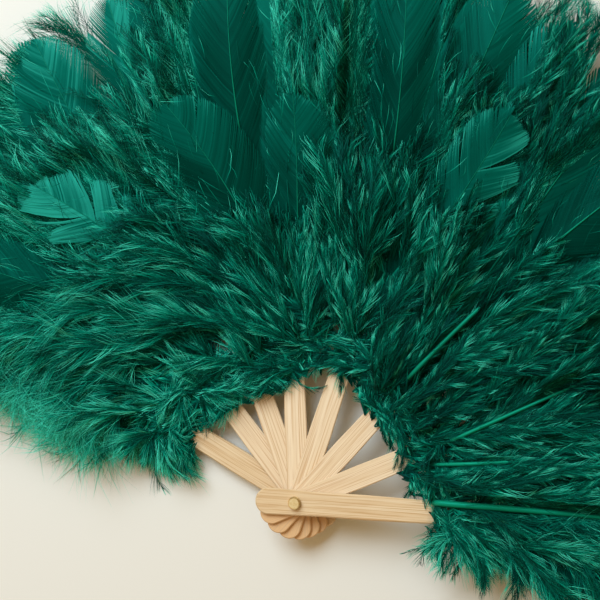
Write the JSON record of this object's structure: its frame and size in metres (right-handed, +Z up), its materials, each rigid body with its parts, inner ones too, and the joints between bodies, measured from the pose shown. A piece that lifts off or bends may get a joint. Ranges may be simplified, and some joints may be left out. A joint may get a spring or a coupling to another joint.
{
  "type": "folding feather fan",
  "caption": "Open folding hand fan: flat bamboo staves pivot on one brass rivet and carry layered green plumes and fluffy down.",
  "frame": {"origin": "centre of the rivet tail, on the surface that the fan lies on", "axes": "+X to the front guard side, across the open fan; +Y out along its middle; +Z up out of the front face, along the rivet"},
  "size_m": [0.5574, 0.3124, 0.0387],
  "materials": {
    "guard_bamboo": "sanded pale bamboo, fine straight grain, clear satin",
    "stick_bamboo": "sanded pale bamboo, fine straight grain",
    "brass": "polished brass",
    "plume": "dyed flat feather, soft sheen along the barbs",
    "cover_feather": "dyed flat feather, soft sheen along the barbs",
    "down": "dyed fluffy down, matt",
    "ribbon": "narrow satin ribbon"
  },
  "bodies": {
    "rear_guard": {"rear_guard": "guard_bamboo", "rear_guard_plumes": "plume", "rear_guard_covers": "cover_feather", "rear_guard_down_front": "down", "rear_guard_down_back": "down", "link_ribbon_7": "ribbon", "rivet_pin": "brass", "rear_washer": "brass", "front_washer": "brass"},
    "stick_6": {"stick_6": "stick_bamboo", "stick_6_plumes": "plume", "stick_6_covers": "cover_feather", "stick_6_down_front": "down", "stick_6_down_back": "down", "link_ribbon_6": "ribbon"},
    "stick_5": {"stick_5": "stick_bamboo", "stick_5_plumes": "plume", "stick_5_covers": "cover_feather", "stick_5_down_front": "down", "stick_5_down_back": "down", "link_ribbon_5": "ribbon"},
    "stick_4": {"stick_4": "stick_bamboo", "stick_4_plumes": "plume", "stick_4_covers": "cover_feather", "stick_4_down_front": "down", "stick_4_down_back": "down", "link_ribbon_4": "ribbon"},
    "stick_3": {"stick_3": "stick_bamboo", "stick_3_plumes": "plume", "stick_3_covers": "cover_feather", "stick_3_down_front": "down", "stick_3_down_back": "down", "link_ribbon_3": "ribbon"},
    "stick_2": {"stick_2": "stick_bamboo", "stick_2_plumes": "plume", "stick_2_covers": "cover_feather", "stick_2_down_front": "down", "stick_2_down_back": "down", "link_ribbon_2": "ribbon"},
    "stick_1": {"stick_1": "stick_bamboo", "stick_1_plumes": "plume", "stick_1_covers": "cover_feather", "stick_1_down_front": "down", "stick_1_down_back": "down", "link_ribbon_1": "ribbon"},
    "front_guard": {"front_guard": "guard_bamboo", "front_guard_plumes": "plume", "front_guard_covers": "cover_feather", "front_guard_down_front": "down", "front_guard_down_back": "down"}
  },
  "joints": [
    {"name": "stick_6_hinge", "type": "hinge", "parent": "rear_guard", "child": "stick_6", "pos_m": [0, 0, 0], "axis": [0, 0, 1], "range_deg": [0, 21.9], "deforming": ["stick_6_down_front", "stick_6_down_back", "link_ribbon_7", "rear_guard_down_front", "rear_guard_down_back"]},
    {"name": "stick_5_hinge", "type": "hinge", "parent": "stick_6", "child": "stick_5", "pos_m": [0, 0, 0], "axis": [0, 0, 1], "range_deg": [0, 17.8], "deforming": ["stick_5_down_front", "stick_5_down_back", "link_ribbon_6"]},
    {"name": "stick_4_hinge", "type": "hinge", "parent": "stick_5", "child": "stick_4", "pos_m": [0, 0, 0], "axis": [0, 0, 1], "range_deg": [0, 17.9], "deforming": ["stick_4_down_front", "stick_4_down_back", "link_ribbon_5"]},
    {"name": "stick_3_hinge", "type": "hinge", "parent": "stick_4", "child": "stick_3", "pos_m": [0, 0, 0], "axis": [0, 0, 1], "range_deg": [0, 20.7], "deforming": ["stick_3_down_front", "stick_3_down_back", "link_ribbon_4"]},
    {"name": "stick_2_hinge", "type": "hinge", "parent": "stick_3", "child": "stick_2", "pos_m": [0, 0, 0], "axis": [0, 0, 1], "range_deg": [0, 24.2], "deforming": ["stick_2_down_front", "stick_2_down_back", "link_ribbon_3"]},
    {"name": "stick_1_hinge", "type": "hinge", "parent": "stick_2", "child": "stick_1", "pos_m": [0, 0, 0], "axis": [0, 0, 1], "range_deg": [0, 25], "deforming": ["stick_1_down_front", "stick_1_down_back", "link_ribbon_2"]},
    {"name": "front_guard_hinge", "type": "hinge", "parent": "stick_1", "child": "front_guard", "pos_m": [0, 0, 0], "axis": [0, 0, 1], "range_deg": [0, 25.1], "deforming": ["front_guard_down_front", "front_guard_down_back", "link_ribbon_1"]}
  ],
  "couplings": [
    {"joint": "stick_5_hinge", "follows": "stick_6_hinge", "ratio": 0.81278},
    {"joint": "stick_4_hinge", "follows": "stick_6_hinge", "ratio": 0.81735},
    {"joint": "stick_3_hinge", "follows": "stick_6_hinge", "ratio": 0.9452},
    {"joint": "stick_2_hinge", "follows": "stick_6_hinge", "ratio": 1.105},
    {"joint": "stick_1_hinge", "follows": "stick_6_hinge", "ratio": 1.1416},
    {"joint": "front_guard_hinge", "follows": "stick_6_hinge", "ratio": 1.1461}
  ]
}
